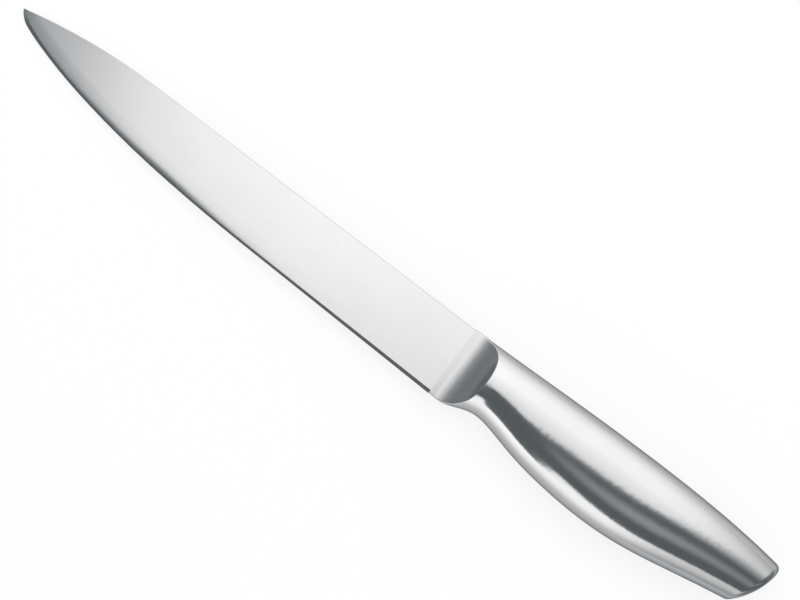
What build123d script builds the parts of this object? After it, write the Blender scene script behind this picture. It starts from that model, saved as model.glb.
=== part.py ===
from build123d import *
import os
from math import atan2, ceil, degrees

# Carving knife with a hollow oval steel handle.
# It is drawn with X along the back of the blade, zero where the blade meets
# the bolster, the tip at minus X and the butt at plus X. Y is the height of
# the knife, zero at the back and the cutting edge at minus Y. Z is its
# thickness, zero on the middle plane, with the left side at plus Z. The last
# step lays it on its right side, with the table at zero.

# Blade
blade_length = 203.0        # bolster line to tip
blade_height = 28.2         # back to edge at the heel
tip_drop = 6.4              # the tip lies this far below the back
back_thick = 1.8            # sheet thickness at the heel, along the back
tip_thick = 0.8             # ground down to this at the tip
edge_thick = 0.65           # behind the sharpened edge, at the heel
sharpening_angle = 14.0     # degrees, each side of the sharpened edge
back_chamfer = 0.2

# Where the straight back starts to drop, and the points of the cutting edge
# from the end of its straight part: along the blade, down the height
back_bend_share = 0.735
edge_shares = (
    (0.443, 0.926),
    (0.616, 0.866),
    (0.739, 0.775),
    (0.837, 0.660),
    (0.936, 0.485),
    (0.975, 0.387),
)

# Unground heel and tang, inside the bolster
heel_block_end = 3.0        # the heel reaches this far past the bolster line
heel_block_inset = 0.9      # and stays this far inside the blade's height
tang_length = 20.0
tang_height = 13.0
tang_centre = 13.5          # below the back

# Handle, shared by the bolster, the shells and the end cap
handle_length = 134.0       # bolster line to the end of the butt
handle_height = 33.0
handle_thick = 20.5
butt_radius = 32.0          # of the round end, seen from the side
butt_rounding = 2.4         # of the edge all round that end
ovals_in_length = 27        # the handle is drawn through this many steps of ovals

# The handle's lines, over its length: its top and its belly over the height,
# zero at the back line, and its side over the thickness
top_shares = (
    (-0.06, 0.006),
    (0.10, 0.017),
    (0.30, 0.041),
    (0.52, 0.056),
    (0.72, 0.046),
    (0.88, 0.008),
    (1.02, -0.060),
)
belly_shares = (
    (-0.06, -0.854),
    (0.000, -0.850),
    (0.034, -0.825),
    (0.066, -0.768),
    (0.100, -0.740),
    (0.160, -0.770),
    (0.250, -0.855),
    (0.360, -0.918),
    (0.485, -0.945),
    (0.620, -0.911),
    (0.760, -0.811),
    (0.880, -0.717),
    (1.02, -0.628),
)
side_shares = (
    (-0.06, 0.383),
    (0.10, 0.414),
    (0.30, 0.475),
    (0.50, 0.500),
    (0.70, 0.490),
    (0.88, 0.445),
    (1.02, 0.392),
)
form_start_share, form_end_share = -0.055, 1.015

# A quarter of an oval is drawn by two pulls: along its side, over the half
# height, and round its end, over the half thickness. 0.55 both ways makes an
# ellipse, and the handle's sides are pulled flatter where it swells
side_pull_shares = (
    (-0.06, 0.55),
    (0.10, 0.58),
    (0.34, 0.72),
    (0.62, 0.73),
    (1.02, 0.64),
)
end_pull_share = 0.55

# Bolster
bolster_length = 24.0       # behind the bolster line
lip_length = 4.5            # it reaches this far over the blade
lip_rise = 0.3              # and stands this far above the sheet
scoop_start = 2.3           # the scoop leaves the lip this far before the line
scoop_radius = 13.5
scoop_sweep = 85.0          # degrees
crest_rounding = 0.4
spigot_length = 8.0         # pushed inside the front of the shells
spigot_wall = 2.0
front_web_end = 14.0        # behind this the casting is hollow
slot_gap = 0.05             # round the heel and the tang

# Handle shells
shell_wall = 1.0
fit_gap = 0.1               # between a spigot and the shells round it

# End cap
cap_length = 17.0           # of the butt, from its end forward
cap_spigot_length = 6.0
cap_spigot_wall = 1.0
cap_end_wall = 3.0

resting_roll = 2.2          # degrees, back down: its weight is behind the line it lies on

overrun = 10.0              # cuts run on past the metal by this


def across(along, height=0):
    """The plane square across the knife, its X up the height and its Y to the left."""
    return Plane(origin=(along, height, 0), x_dir=(0, 1, 0), z_dir=(1, 0, 0))


def handle_line(shares, size):
    """One of the handle's lines, as a smooth curve over its length."""
    with BuildLine() as line:
        Spline([(along * handle_length, value * size) for along, value in shares])
    return line.edge()


oval_step = handle_length / ovals_in_length
top_line = handle_line(top_shares, handle_height)
belly_line = handle_line(belly_shares, handle_height)
side_line = handle_line(side_shares, handle_thick)
pull_line = handle_line(side_pull_shares, handle_height)
handle_lines = (top_line, belly_line, side_line, pull_line)


def ovals(inset, start, end):
    """The handle's ovals from one place to another, smaller all round by the inset."""
    steps = ceil((end - start) / oval_step)
    sections = []
    for i in range(steps + 1):
        along = start + i * (end - start) / steps
        top, belly, side, pull = [line.intersect(across(along))[0].Y for line in handle_lines]
        tall = (top - belly) / 2 - inset
        wide = side - inset
        with BuildSketch(across(along, (top + belly) / 2)) as section:
            with BuildLine():
                Bezier((tall, 0), (tall, end_pull_share * wide), (pull / handle_height * tall, wide),
                       (0, wide))
                mirror(about=Plane.YZ)
                mirror(about=Plane.XZ)
            make_face()
        sections.append(section.sketch)
    return sections


# Blade: the side outline under the back, the two ground sides, and the
# sharpened edge, which keeps its angle all along the cutting edge
tip = Vector(-blade_length, -tip_drop)
heel = Vector(-lip_length, -blade_height)
edge_points = [Vector(-along * blade_length, -down * blade_height) for along, down in edge_shares]
half_back = back_thick / 2

with BuildPart() as sharpened_form:
    with BuildSketch() as keen_outline:
        with BuildLine():
            run = Line(heel, edge_points[0])
            behind_heel = heel - 2 * overrun * (run % 0)
            Line(behind_heel, heel)
            for point in edge_points[1:] + [tip]:
                run = TangentArc(run @ 1, point, tangent=run % 1)
            past_tip = tip + overrun * (run % 1)
            Line(tip, past_tip)
            Polyline(past_tip, (past_tip.X, 2 * overrun), (behind_heel.X, 2 * overrun), behind_heel)
        make_face()
    extrude(amount=half_back, taper=90 - sharpening_angle)
    mirror(about=Plane.XY)

with BuildPart() as blade:
    with BuildSketch() as back_outline:
        with BuildLine():
            back = Line((-lip_length, 0), (-back_bend_share * blade_length, 0))
            drop = TangentArc(back @ 1, tip, tangent=back % 1)
            past_tip = tip + overrun * (drop % 1)
            Line(tip, past_tip)
            low = -blade_height - overrun
            Polyline(past_tip, (past_tip.X, low), (-lip_length, low), (-lip_length, 0))
        make_face()
    extrude(amount=half_back, both=True)
    for side in (1, -1):
        back_at_heel = Vector(0, 0, side * half_back)
        edge_at_heel = Vector(0, -blade_height, side * edge_thick / 2)
        back_at_tip = Vector(tip.X, tip.Y, side * tip_thick / 2)
        outward = (back_at_tip - back_at_heel).cross(edge_at_heel - back_at_heel) * side
        split(bisect_by=Plane(origin=back_at_heel, z_dir=outward), keep=Keep.BOTTOM)
    long_edges = blade.edges().filter_by(lambda edge: abs((edge % 0.5).X) > 0.9)
    chamfer(long_edges.sort_by(Axis.Y)[2:], length=back_chamfer)
    add(sharpened_form.part, mode=Mode.INTERSECT)
    with BuildSketch() as heel_block:
        with Locations((-lip_length, -heel_block_inset)):
            Rectangle(lip_length + heel_block_end, blade_height - 2 * heel_block_inset,
                      align=(Align.MIN, Align.MAX))
    extrude(amount=half_back, both=True)
    with BuildSketch() as tang:
        with Locations((heel_block_end, -tang_centre)):
            Rectangle(tang_length - heel_block_end, tang_height, align=(Align.MIN, Align.CENTER))
    extrude(amount=half_back, both=True)

# The handle's outer form, cut square into bolster, shells and butt
cap_start = handle_length - cap_length

with BuildPart() as outer_form:
    loft(ovals(0, form_start_share * handle_length, form_end_share * handle_length))

with BuildPart() as front_form:
    add(outer_form.part)
    split(bisect_by=across(-lip_length), keep=Keep.TOP)
    split(bisect_by=across(bolster_length), keep=Keep.BOTTOM)

with BuildPart() as grip_form:
    add(outer_form.part)
    split(bisect_by=across(bolster_length), keep=Keep.TOP)
    split(bisect_by=across(cap_start), keep=Keep.BOTTOM)

with BuildPart() as butt_form:
    add(outer_form.part)
    split(bisect_by=across(cap_start), keep=Keep.TOP)

# Bolster: a scoop on each side leads down to the blade, a spigot holds the
# shells, and the slot takes the heel and the tang
spigot_inset = shell_wall + fit_gap
spigot_end = bolster_length + spigot_length
lip_height = half_back + lip_rise

with BuildPart() as bolster:
    add(front_form.part)
    for side in (1, -1):
        with BuildSketch(Plane.XZ) as scoop:
            with BuildLine():
                centre = (-scoop_start, side * (lip_height + scoop_radius))
                outside = centre[1] + side * overrun
                lip = Line((-lip_length - overrun, side * lip_height),
                           (-scoop_start, side * lip_height))
                bend = CenterArc(centre, scoop_radius, -side * 90, side * scoop_sweep)
                Polyline(bend @ 1, ((bend @ 1).X, outside), ((lip @ 0).X, outside), lip @ 0)
            make_face()
        extrude(amount=handle_height + overrun, both=True, mode=Mode.SUBTRACT)
    scoops = bolster.faces().filter_by(GeomType.CYLINDER)
    crests = [edge for edge in scoops.edges() if edge.geom_type != GeomType.LINE]
    fillet(crests, radius=crest_rounding)
    loft(ovals(spigot_inset, bolster_length, spigot_end))
    loft(ovals(spigot_inset + spigot_wall, front_web_end, spigot_end + overrun), mode=Mode.SUBTRACT)
    with BuildSketch() as heel_slot:
        with Locations((-lip_length, -heel_block_inset + slot_gap)):
            Rectangle(lip_length + heel_block_end + slot_gap,
                      blade_height - 2 * (heel_block_inset - slot_gap),
                      align=(Align.MIN, Align.MAX))
    extrude(amount=half_back + slot_gap, both=True, mode=Mode.SUBTRACT)
    with BuildSketch() as tang_slot:
        with Locations((0, -tang_centre)):
            Rectangle(tang_length, tang_height + 2 * slot_gap, align=(Align.MIN, Align.CENTER))
    extrude(amount=half_back + slot_gap, both=True, mode=Mode.SUBTRACT)

# Handle shells: two pressed halves that meet on the middle plane
with BuildPart() as handle_shell_left:
    add(grip_form.part)
    loft(ovals(shell_wall, bolster_length - overrun, cap_start + overrun), mode=Mode.SUBTRACT)
    split(bisect_by=Plane.XY, keep=Keep.TOP)

with BuildPart() as handle_shell_right:
    mirror(handle_shell_left.part, about=Plane.XY)

# End cap: the butt, with a round end, hollow from the front, and a spigot for
# the shells
butt_centre = (handle_length - butt_radius, 0)
cap_spigot_start = cap_start - cap_spigot_length

with BuildPart() as cap_room:
    loft(ovals(spigot_inset + cap_spigot_wall, cap_spigot_start - overrun, handle_length))
    with BuildSketch() as inner_end:
        with Locations(butt_centre):
            Circle(butt_radius - cap_end_wall)
    extrude(amount=handle_thick, both=True, mode=Mode.INTERSECT)

with BuildPart() as end_cap:
    add(butt_form.part)
    with BuildSketch() as round_end:
        with Locations(butt_centre):
            Circle(butt_radius)
    extrude(amount=handle_thick, both=True, mode=Mode.INTERSECT)
    rim = end_cap.faces().filter_by(GeomType.CYLINDER).edges()
    fillet(rim, radius=butt_rounding)
    loft(ovals(spigot_inset, cap_spigot_start, cap_start))
    add(cap_room.part, mode=Mode.SUBTRACT)

# At rest the knife touches the table with its tip and with the swell of its
# handle, so it is pitched by the steepest slope from the tip to an oval's side
rolled = Location((0, 0, 0), (-resting_roll, 0, 0))
tip_low = (rolled * Location(tip)).position.Z - tip_thick / 2
slopes = []
for section in ovals(0, 0, handle_length):
    oval_box = (rolled * section).bounding_box()
    slopes.append(atan2(tip_low - oval_box.min.Z, oval_box.center().X + blade_length))
pitched = Location((0, 0, 0), (0, -degrees(max(slopes)), 0)) * rolled

pieces = (blade, bolster, handle_shell_left, handle_shell_right, end_cap)
boxes = [(pitched * piece.part).bounding_box() for piece in pieces]
lowest = [min(getattr(box.min, axis) for box in boxes) for axis in "XYZ"]
highest = [max(getattr(box.max, axis) for box in boxes) for axis in "XYZ"]
middle = [(low + high) / 2 for low, high in zip(lowest, highest)]
to_rest = Location((-middle[0], -middle[1], -lowest[2])) * pitched
for piece in pieces:
    piece.part.move(to_rest)

os.makedirs("parts", exist_ok=True)

blade.part.label = "blade"
export_step(blade.part, "parts/blade.step")

bolster.part.label = "bolster"
export_step(bolster.part, "parts/bolster.step")

handle_shell_left.part.label = "handle_shell_left"
export_step(handle_shell_left.part, "parts/handle_shell_left.step")

handle_shell_right.part.label = "handle_shell_right"
export_step(handle_shell_right.part, "parts/handle_shell_right.step")

end_cap.part.label = "end_cap"
export_step(end_cap.part, "parts/end_cap.step")
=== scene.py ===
from math import atan2, pi, radians, tan

import bmesh
import bpy
from mathutils import Euler, Matrix, Vector

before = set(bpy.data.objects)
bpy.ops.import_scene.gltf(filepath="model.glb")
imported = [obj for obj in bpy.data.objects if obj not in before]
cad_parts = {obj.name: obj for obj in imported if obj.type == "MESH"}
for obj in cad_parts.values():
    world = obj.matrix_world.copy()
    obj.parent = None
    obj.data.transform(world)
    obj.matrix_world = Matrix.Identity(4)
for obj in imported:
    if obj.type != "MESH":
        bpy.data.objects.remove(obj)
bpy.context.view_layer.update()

# Carving knife, all in steel, seen square onto the side of its blade.


class Wire:
    # a socket of a material, so that Python sums become Math nodes

    def __init__(self, tree, socket):
        self.tree = tree
        self.socket = socket

    def maths(self, operation, *values):
        return self.tree.add("ShaderNodeMath", {"operation": operation}, dict(enumerate(values)))

    def __add__(self, other):
        return self.maths("ADD", self, other)

    def __radd__(self, other):
        return self.maths("ADD", other, self)

    def __sub__(self, other):
        return self.maths("SUBTRACT", self, other)

    def __rsub__(self, other):
        return self.maths("SUBTRACT", other, self)

    def __mul__(self, other):
        return self.maths("MULTIPLY", self, other)

    def __rmul__(self, other):
        return self.maths("MULTIPLY", other, self)

    def __truediv__(self, other):
        return self.maths("DIVIDE", self, other)

    def __rtruediv__(self, other):
        return self.maths("DIVIDE", other, self)

    def __neg__(self):
        return self.maths("MULTIPLY", self, -1)

    def __abs__(self):
        return self.maths("ABSOLUTE", self)


class Finish:
    # a new material and its nodes

    def __init__(self, name):
        self.material = bpy.data.materials.new(name)
        self.material.use_nodes = True
        self.tree = self.material.node_tree
        self.tree.nodes.clear()

    def add(self, kind, settings=None, inputs=None, output=0):
        node = self.tree.nodes.new(kind)
        for key, value in (settings or {}).items():
            if key == "stops":
                self.setStops(node.color_ramp, value)
            elif key == "curve":
                node.color_ramp.interpolation = value
            else:
                setattr(node, key, value)
        for key, value in (inputs or {}).items():
            socket = node.inputs[key]
            if isinstance(value, Wire):
                self.tree.links.new(value.socket, socket)
            else:
                socket.default_value = value
        return Wire(self, node.outputs[output]) if node.outputs else None

    def setStops(self, ramp, stops):
        while len(ramp.elements) > 1:
            ramp.elements.remove(ramp.elements[-1])
        for i, (place, tone) in enumerate(stops):
            element = ramp.elements[0] if i == 0 else ramp.elements.new(place)
            element.position = place
            element.color = (tone, tone, tone, 1)

    def spread(self, value, low, high):
        # from 0 at low to 1 at high, and no further
        return self.add("ShaderNodeMapRange", None, {
            "Value": value, "From Min": low, "From Max": high})

    def follow(self, value, stops, curve="LINEAR"):
        # a curve through the (value, level) stops
        low, high = stops[0][0], stops[-1][0]
        least = min(level for spot, level in stops)
        most = max(level for spot, level in stops)
        shares = [((spot - low) / (high - low), (level - least) / (most - least))
                  for spot, level in stops]
        share = self.add("ShaderNodeValToRGB", {"curve": curve, "stops": shares}, {
            "Fac": self.spread(value, low, high)})
        return share * (most - least) + least

    def split(self, vector):
        node = self.add("ShaderNodeSeparateXYZ", None, {"Vector": vector}).socket.node
        return [Wire(self, socket) for socket in node.outputs]

    def finish(self, shader):
        self.add("ShaderNodeOutputMaterial", None, {"Surface": shader})
        return self.material


# Where the knife lies: the turn and place that bring its own axes (X along the
# back towards the butt, zero at the bolster, Y towards the back, Z to its left
# side) to the frame of the model. Its cutting edge goes by shares of the blade's
# length and height
knife = dict(
    pitch=radians(-2.1337),
    roll=radians(-2.2),
    bolsterLine=Vector((0.034578, 0.014652, 0.007718)),
    bladeLength=0.203,
    bladeHeight=0.0282,
    tipDrop=0.0064,
    edgeShares=(
        (0.022, 1.0), (0.443, 0.926), (0.616, 0.866), (0.739, 0.775), (0.837, 0.660),
        (0.936, 0.485), (0.975, 0.387), (1.0, 0.227),
    ),
    handleLength=0.134,
)
knifeTurn = Euler((knife["roll"], knife["pitch"], 0), "XYZ")


def knifePlace(along, height):
    # a point of the blade's middle plane, in the frame of the model
    place = Vector((along, height, 0))
    place.rotate(knifeTurn)
    return place + knife["bolsterLine"]


# Camera: square onto the left side of the blade, from far off
camera = dict(
    mmPerPixel=0.3577,
    tipPixel=(23.8, 8.3),
    frameSize=(800, 600),
    distance=2.0,
    turn=radians(37.3),
    sensor=36.0,
    farClip=20.0,
)


def makeCamera():
    data = bpy.data.cameras.new("camera")
    wide, high = camera["frameSize"]
    pixel = camera["mmPerPixel"] / 1000
    data.sensor_fit = "HORIZONTAL"
    data.sensor_width = camera["sensor"]
    data.lens = camera["sensor"] * camera["distance"] / (wide * pixel)
    data.clip_end = camera["farClip"]
    right = (camera["tipPixel"][0] - wide / 2) * pixel
    up = (high / 2 - camera["tipPixel"][1]) * pixel
    tip = knifePlace(-knife["bladeLength"], -knife["tipDrop"])
    turn = knifeTurn.to_matrix() @ Matrix.Rotation(camera["turn"], 3, "Z")
    eye = tip - turn @ Vector((right, up, 0)) + turn @ Vector((0, 0, camera["distance"]))
    viewer = bpy.data.objects.new("camera", data)
    viewer.matrix_world = Matrix.Translation(eye) @ turn.to_4x4()
    bpy.context.collection.objects.link(viewer)
    bpy.context.scene.camera = viewer


# Steel: both finishes are satin, ground fine enough to mirror a room softly. The
# blade's grain runs across it and the handle's along it. Scratches are from
# use: on the blade from wiping, on the handle where it lies on a table. Lean,
# crown and roll shade the flat of the blade as if it were bowed
bladeFinish = dict(
    colour=(0.90, 0.90, 0.905),
    roughness=0.13,
    roughnessSpread=0.03,
    grainSize=(0.00009, 0.0040, 0.00009),
    grainDepth=0.0000010,
    scratchSize=(0.012, 0.00010, 0.00010),
    scratchTurn=radians(9),
    scratchDepth=0.00000012,
    lean=radians(3.6),
    crown=radians(2.2),
    rollHeight=0.0065,
    roll=radians(7.4),
    rollFades=(0.010, 0.125),
    whetTilt=(0.990, 0.975),
    whetRoughness=0.06,
)
handleFinish = dict(
    colour=(0.84, 0.84, 0.845),
    roughness=0.12,
    roughnessSpread=0.03,
    grainSize=(0.0060, 0.00012, 0.00012),
    grainDepth=0.0000008,
    scratchSize=(0.009, 0.00012, 0.00012),
    scratchTurn=radians(-31),
    scratchDepth=0.00000015,
    swellSide=(0.0075, 0.0100),
    buttRim=0.0030,
    rubbedRoughness=-0.035,
    scoopTilt=(0.0, 0.15),
    scoopEnd=(0.013, 0.011),
    scoopRoughness=0.14,
    # the lip's place and its painted highlight, a lighter colour that evens the lip's reflected
    # tone out against the blade's
    lipEnd=(0.0, -0.0022),
    lipPaintedHighlight=0.14,
)
surfaceWear = dict(
    cloudScale=60.0,
    cloudDetail=4.0,
    cloudSpan=(0.3, 0.7),
    grainDetail=3.0,
    darkestTone=0.97,
    scratchSpan=(0.66, 0.71),
    scratchRoughness=0.04,
    scratchTone=0.02,
    edgeTint=0.5,
)


def knifeCoordinates(steel):
    place = steel.add("ShaderNodeTexCoord", output="Object")
    return steel.add("ShaderNodeMapping", {"vector_type": "TEXTURE"}, {
        "Vector": place, "Location": knife["bolsterLine"], "Rotation": knifeTurn})


def facing(steel, axis):
    # how far a face looks along an axis of the knife
    axis = Vector(axis)
    axis.rotate(knifeTurn)
    return steel.add("ShaderNodeVectorMath", {"operation": "DOT_PRODUCT"}, {
        0: steel.add("ShaderNodeTexCoord", output="Normal"), 1: axis}, output="Value")


def streaks(steel, place, size, detail, turn=0.0):
    # noise drawn out into lines of about this length and width
    lines = steel.add("ShaderNodeMapping", {"vector_type": "TEXTURE"}, {
        "Vector": place, "Rotation": (0, 0, turn), "Scale": size})
    return steel.add("ShaderNodeTexNoise", None, {"Vector": lines, "Scale": 1.0, "Detail": detail})


def steelSurface(name, wish, useMarks):
    steel = Finish(name)
    place = knifeCoordinates(steel)
    scratchPlaces, extraRoughness, extraRelief, paintedHighlight = useMarks(steel, place)
    grain = streaks(steel, place, wish["grainSize"], surfaceWear["grainDetail"])
    scratches = streaks(steel, place, wish["scratchSize"], 0.0, wish["scratchTurn"])
    scratches = scratchPlaces * steel.spread(scratches, *surfaceWear["scratchSpan"])
    cloud = steel.add("ShaderNodeTexNoise", None, {
        "Vector": place, "Scale": surfaceWear["cloudScale"], "Detail": surfaceWear["cloudDetail"]})
    roughness = (wish["roughness"] + (grain + cloud - 1) * wish["roughnessSpread"]
                 + scratches * surfaceWear["scratchRoughness"] + extraRoughness)
    relief = grain * wish["grainDepth"] - scratches * wish["scratchDepth"] + extraRelief
    bump = steel.add("ShaderNodeBump", None, {"Height": relief, "Strength": 1.0, "Distance": 1.0})
    darkest = surfaceWear["darkestTone"]
    shade = steel.spread(cloud, *surfaceWear["cloudSpan"]) * (1 - darkest) + darkest
    # the colour takes a painted highlight on the handle's lip; the blade's marks add none
    tone = steel.add("ShaderNodeVectorMath", {"operation": "SCALE"}, {
        "Vector": wish["colour"],
        "Scale": shade + paintedHighlight - scratches * surfaceWear["scratchTone"]})
    tint = surfaceWear["edgeTint"]
    shader = steel.add("ShaderNodeBsdfPrincipled", None, {
        "Base Color": tone, "Metallic": 1.0, "Roughness": roughness, "Normal": bump,
        "Specular Tint": (tint, tint, tint, 1)})
    return steel.finish(shader)


def cuttingEdge():
    # its height over the distance from the bolster: a straight part, and arcs
    # that each go on from the last
    spots = [Vector((share * knife["bladeLength"], -down * knife["bladeHeight"]))
             for share, down in knife["edgeShares"]]
    run = spots[1] - spots[0]
    heading = atan2(run.y, run.x)
    line = spots[:2]
    for spot in spots[2:]:
        chord = spot - line[-1]
        slope = atan2(chord.y, chord.x)
        bulge = Vector((chord.y, -chord.x)) * tan((slope - heading) / 2) / 2
        line += [(line[-1] + spot) / 2 + bulge, spot]
        heading = 2 * slope - heading
    return [tuple(spot) for spot in line]


def bladeMarks(steel, place):
    # a lean and a faint crown across the blade, which rolls over towards the
    # cutting edge except near the heel, and a coarser whetting on the sharpened
    # edge, told by the tilt of its faces
    along, height, _ = steel.split(place)
    low = knife["bladeHeight"]
    rise = height + low
    relief = rise * rise * (-bladeFinish["crown"] / (2 * low)) - rise * bladeFinish["lean"]
    aboveEdge = height - steel.follow(-along, cuttingEdge())
    rolled = steel.spread(aboveEdge, bladeFinish["rollHeight"], 0.0)
    rolled = rolled * rolled * steel.spread(-along, *bladeFinish["rollFades"])
    relief = relief - rolled * (bladeFinish["roll"] * bladeFinish["rollHeight"] / 2)
    whetted = steel.spread(abs(facing(steel, (0, 0, 1))), *bladeFinish["whetTilt"])
    return 1 - whetted, whetted * bladeFinish["whetRoughness"], relief, 0


def handleMarks(steel, place):
    # scratches on the swell that lies on the table, a butt rubbed smooth, a
    # coarser grind in the scoop, told by its faces that look towards the tip, and
    # a painted highlight on the lip: its colour lightened so that its reflected tone evens out
    # against the blade's
    along, _, left = steel.split(place)
    swell = steel.spread(abs(left), *handleFinish["swellSide"])
    buttEnd = knife["handleLength"]
    rubbed = steel.spread(along, buttEnd - handleFinish["buttRim"], buttEnd)
    lip = steel.spread(along, *handleFinish["lipEnd"])
    scooped = (steel.spread(facing(steel, (-1, 0, 0)), *handleFinish["scoopTilt"])
               * steel.spread(along, *handleFinish["scoopEnd"]))
    roughness = rubbed * handleFinish["rubbedRoughness"] + scooped * handleFinish["scoopRoughness"]
    return swell, roughness, 0, lip * handleFinish["lipPaintedHighlight"]


def dress(pieces, material):
    for piece in pieces:
        for slot in bpy.data.objects[piece].material_slots:
            slot.material = material


def makeSteel():
    dress(("blade",), steelSurface("bladeSteel", bladeFinish, bladeMarks))
    dress(("bolster", "handle_shell_left", "handle_shell_right", "end_cap"),
          steelSurface("handleSteel", handleFinish, handleMarks))


# Studio: a pale floor, a soft lamp above, and a small closed tent of card that
# only the steel's reflections see, bright overhead with a dark gap beside it
studio = dict(
    floorSize=6.0,
    floorTone=0.9,
    floorGlow=0.8,
    worldLevel=0.8,
    lampSize=1.4,
    lampPlace=(0.0, 0.7, 1.6),
    lampPower=12.0,
    tentRadius=0.5,
    tentDetail=5,
    tentFoot=0.0002,
)


def makeFloor():
    mesh = bpy.data.meshes.new("floor")
    build = bmesh.new()
    bmesh.ops.create_grid(build, x_segments=1, y_segments=1, size=studio["floorSize"] / 2)
    build.to_mesh(mesh)
    build.free()
    floor = bpy.data.objects.new("floor", mesh)
    bpy.context.collection.objects.link(floor)
    paint = Finish("floorPaint")
    tone = studio["floorTone"]
    matt = paint.add("ShaderNodeBsdfDiffuse", None, {"Color": (tone, tone, tone, 1)})
    glow = paint.add("ShaderNodeEmission", None, {"Color": (1, 1, 1, 1), "Strength": 1.0})
    rays = ["Is Camera Ray", "Is Glossy Ray", "Is Transmission Ray"]
    seen = sum(paint.add("ShaderNodeLightPath", output=ray) for ray in rays)
    both = paint.add("ShaderNodeMixShader", None, {
        "Fac": seen * studio["floorGlow"], 1: matt, 2: glow})
    mesh.materials.append(paint.finish(both))


# The tent's tones, as the middle of the knife sees them. Light: by the angle
# from overhead in degrees, from the cutting edge's side over to the back's side.
# Ends: how much of it is left at places along the knife, in metres from its
# middle. A dark gap with a grey streak in it runs along the tent, between two
# angles that change on the way. Dark tones are cool, and light ones neutral
tent = dict(
    light=(
        (-140, 0.30), (-95, 0.55), (-84, 0.68), (-72, 0.90), (-60, 1.06), (-45, 1.07), (-33, 1.01),
        (-20, 1.4), (-9, 0.87), (0, 0.83), (4.8, 0.84), (9.3, 0.925), (27, 1.09), (50, 1.08),
        (80, 0.85), (98, 0.57), (116, 0.41), (140, 0.37),
    ),
    ends=(
        (-0.5, 0.20), (-0.36, 0.20), (-0.21, 0.38), (-0.18, 0.58), (-0.15, 0.92), (-0.12, 1.06),
        (-0.05, 1.12), (0.06, 1.0), (0.15, 1.0), (0.20, 0.84), (0.24, 0.64), (0.33, 0.42),
        (0.40, 0.22), (0.5, 0.14),
    ),
    gapStart=(
        (-0.5, -30), (-0.33, -26), (-0.27, -8), (-0.2, -7), (0.0, -7), (0.044, -5), (0.06, -1),
        (0.12, -0.5), (0.195, 5), (0.24, 8.5), (0.5, 9),
    ),
    gapEnd=(
        (-0.5, -54), (0.02, -52), (0.042, -43), (0.055, -34), (0.09, -35), (0.152, -42),
        (0.195, -45), (0.5, -46),
    ),
    gapStartSoftness=((-0.5, 3), (0.12, 3), (0.152, 5), (0.195, 11), (0.24, 33), (0.5, 36)),
    gapEndSoftness=4,
    gapTone=0.112,
    streakShape=((0.10, 0), (0.34, 1), (0.62, 0)),
    streakTone=(
        (-0.5, 0), (0.04, 0), (0.078, 0.12), (0.152, 0.22), (0.195, 0.20), (0.24, 0.13),
        (0.5, 0.10),
    ),
    coolTint=(0.87, 1.01, 1.10, 1),
    neutralFrom=0.6,
)


def tentPaint():
    paint = Finish("tentCard")
    middle = knifePlace(-knife["bolsterLine"].x, -knife["bladeHeight"] / 2)
    along, over, up = paint.split(paint.add("ShaderNodeMapping", {"vector_type": "TEXTURE"}, {
        "Vector": paint.add("ShaderNodeTexCoord", output="Object"),
        "Location": middle, "Rotation": knifeTurn}))
    angle = over.maths("ARCTAN2", over, up) * (180 / pi)
    start = paint.follow(along, tent["gapStart"], "B_SPLINE")
    end = paint.follow(along, tent["gapEnd"], "B_SPLINE")
    depth = (start - angle) / (start - end)
    softness = paint.follow(along, tent["gapStartSoftness"], "B_SPLINE")
    opening = (paint.spread(angle, start, start + softness)
               + paint.spread(angle, end, end - tent["gapEndSoftness"]))
    streak = (paint.follow(depth, tent["streakShape"], "EASE")
              * paint.follow(along, tent["streakTone"]))
    light = paint.follow(angle, tent["light"]) * paint.follow(along, tent["ends"])
    level = light * opening + (1 - opening) * (streak + tent["gapTone"])
    # the Mix node's colours are its inputs 6 and 7 and its output 2
    tint = paint.add("ShaderNodeMix", {"data_type": "RGBA"}, {
        "Factor": level / tent["neutralFrom"], 6: tent["coolTint"], 7: (1, 1, 1, 1)}, output=2)
    glow = paint.add("ShaderNodeEmission", None, {"Color": tint, "Strength": level})
    material = paint.finish(glow)
    material.cycles.emission_sampling = "NONE"
    return material


def makeTent():
    # a dome, closed by a flat foot just over the floor
    mesh = bpy.data.meshes.new("tent")
    build = bmesh.new()
    bmesh.ops.create_icosphere(
        build, subdivisions=studio["tentDetail"], radius=studio["tentRadius"])
    bmesh.ops.bisect_plane(
        build, geom=build.verts[:] + build.edges[:] + build.faces[:],
        plane_co=(0, 0, studio["tentFoot"]), plane_no=(0, 0, -1), clear_outer=True)
    bmesh.ops.contextual_create(build, geom=[edge for edge in build.edges if edge.is_boundary])
    build.to_mesh(mesh)
    build.free()
    mesh.materials.append(tentPaint())
    card = bpy.data.objects.new("tent", mesh)
    bpy.context.collection.objects.link(card)
    card.visible_camera = False
    card.visible_diffuse = False
    card.visible_transmission = False
    card.visible_shadow = False
    card.visible_volume_scatter = False


def makeLight():
    world = bpy.data.worlds.new("studio")
    world.use_nodes = True
    background = world.node_tree.nodes["Background"]
    background.inputs["Color"].default_value = (1, 1, 1, 1)
    background.inputs["Strength"].default_value = studio["worldLevel"]
    bpy.context.scene.world = world
    data = bpy.data.lights.new("softLamp", "AREA")
    data.size = studio["lampSize"]
    data.energy = studio["lampPower"]
    lamp = bpy.data.objects.new("softLamp", data)
    place = Vector(studio["lampPlace"])
    aim = place.to_track_quat("Z", "Y").to_matrix().to_4x4()
    lamp.matrix_world = Matrix.Translation(place) @ aim
    lamp.visible_glossy = False
    bpy.context.collection.objects.link(lamp)


bpy.context.scene.view_settings.view_transform = "Standard"
makeCamera()
print("camera set")
makeSteel()
print("steel on the five pieces")
makeFloor()
makeTent()
makeLight()
print("studio set")
